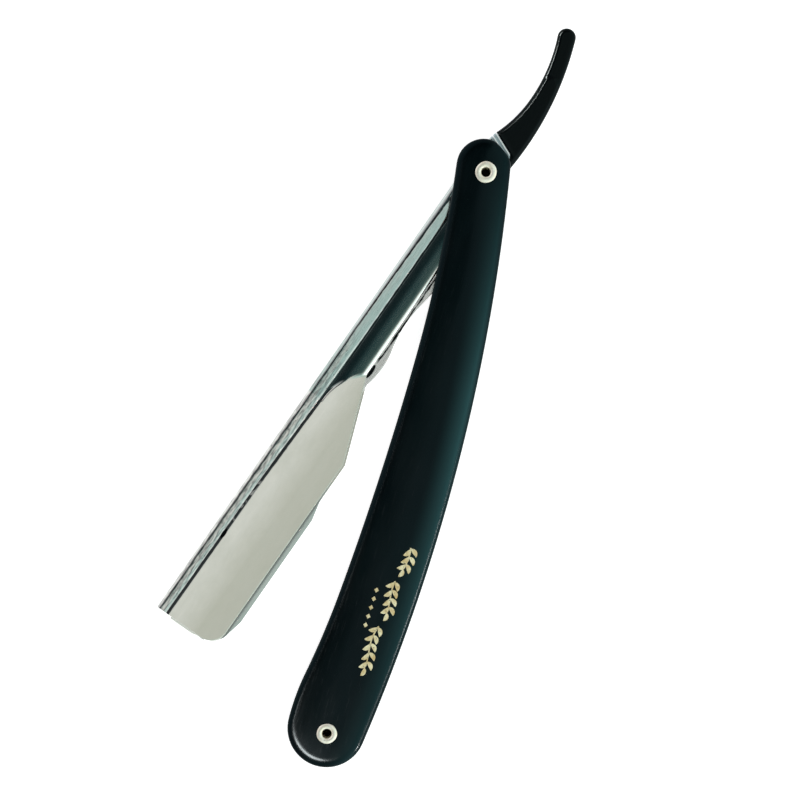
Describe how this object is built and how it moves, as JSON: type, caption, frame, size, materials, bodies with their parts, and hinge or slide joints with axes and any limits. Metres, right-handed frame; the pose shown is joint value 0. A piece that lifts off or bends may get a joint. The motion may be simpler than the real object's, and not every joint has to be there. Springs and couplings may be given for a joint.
{
  "type": "straight razor",
  "caption": "Folding straight razor with black scales, hollow eyelets, a folded steel holder for a half blade and a sleeved tail.",
  "frame": {"origin": "on the pivot axis, midway between the two scales", "axes": "+Z out of the front scale along the pivot, +X from the pivot eyelet to the butt eyelet, +Y to the scales' convex back"},
  "size_m": [0.1707, 0.0553, 0.0083],
  "materials": {
    "scales": "moulded black plastic, lightly polished",
    "spacer": "turned black plastic",
    "eyelets": "pale brass, rolled and bright",
    "washers": "stamped brass",
    "holder_steel": "stainless sheet, fine satin polish",
    "sleeve": "soft black vinyl, glossy",
    "carrier_steel": "spring steel sheet, fine satin",
    "blade_steel": "ground blade steel"
  },
  "bodies": {
    "handle": {"front_scale": "scales", "rear_scale": "scales", "butt_spacer": "spacer", "pivot_eyelet": "eyelets", "butt_eyelet": "eyelets", "pivot_clinch_washer": "washers", "butt_clinch_washer": "washers", "front_pivot_washer": "washers", "rear_pivot_washer": "washers"},
    "holder": {"blade_holder": "holder_steel", "tang_bush": "washers", "tail_sleeve": "sleeve"},
    "carrier": {"blade_carrier": "carrier_steel", "carrier_locating_pins": "carrier_steel", "half_blade": "blade_steel"}
  },
  "joints": [
    {"name": "holder_pivot", "type": "hinge", "parent": "handle", "child": "holder", "pos_m": [0, 0, 0], "axis": [0, 0, 1], "range_deg": [-324, 17]},
    {"name": "carrier_slide", "type": "slide", "parent": "holder", "child": "carrier", "axis": [0.9447, -0.3279, 0], "range_m": [0, 0.004]}
  ]
}
